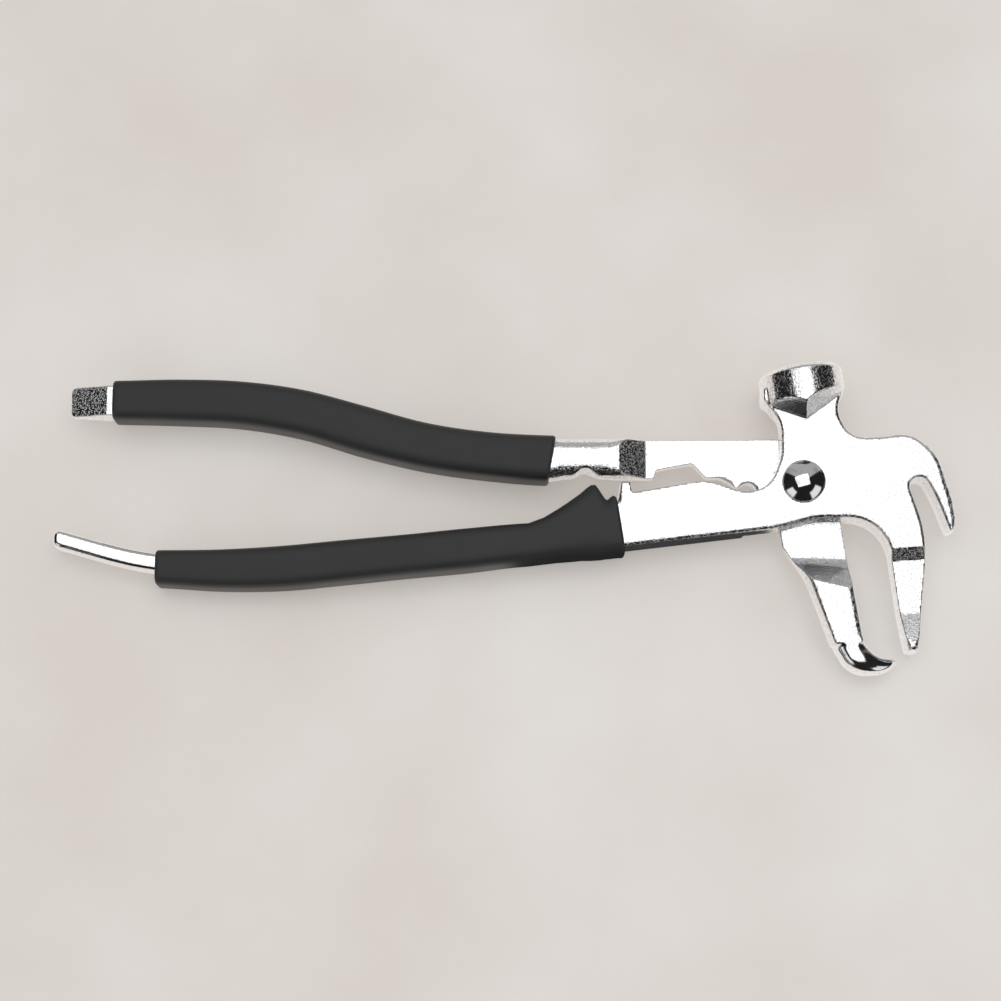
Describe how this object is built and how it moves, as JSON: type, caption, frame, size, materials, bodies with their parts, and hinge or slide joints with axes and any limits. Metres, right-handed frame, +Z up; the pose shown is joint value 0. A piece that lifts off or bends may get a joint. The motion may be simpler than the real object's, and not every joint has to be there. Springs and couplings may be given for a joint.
{
  "type": "wheel weight pliers",
  "caption": "Long-handled pliers with a hammer head, claw, straight and hooked jaws, a screwdriver tail and a pry tail, for fitting and removing clip-on wheel weights.",
  "frame": {"origin": "middle of the bottom of the tool's box, with the lap plane level and the side of the hammer head lowest", "axes": "+X from the handles to the claw, +Y from the jaws to the hammer face, +Z up out of the face that carries the rivet's dome"},
  "size_m": [0.249, 0.0872, 0.0234],
  "materials": {
    "plated_steel": "bright plating over fine forged grain",
    "rivet_steel": "bright plating over a smooth dome",
    "grip_plastic": "satin dipped plastic"
  },
  "bodies": {
    "hammer_side": {"hammer_half": "plated_steel", "pivot_rivet": "rivet_steel", "hammer_half_grip": "grip_plastic"},
    "hook_side": {"hook_half": "plated_steel", "hook_half_grip": "grip_plastic"}
  },
  "joints": [
    {"name": "jaw_pivot", "type": "hinge", "parent": "hammer_side", "child": "hook_side", "pos_m": [0.08267, 0.00958, 0.0117], "axis": [0, 0, -1], "range_deg": [0, 32]}
  ]
}
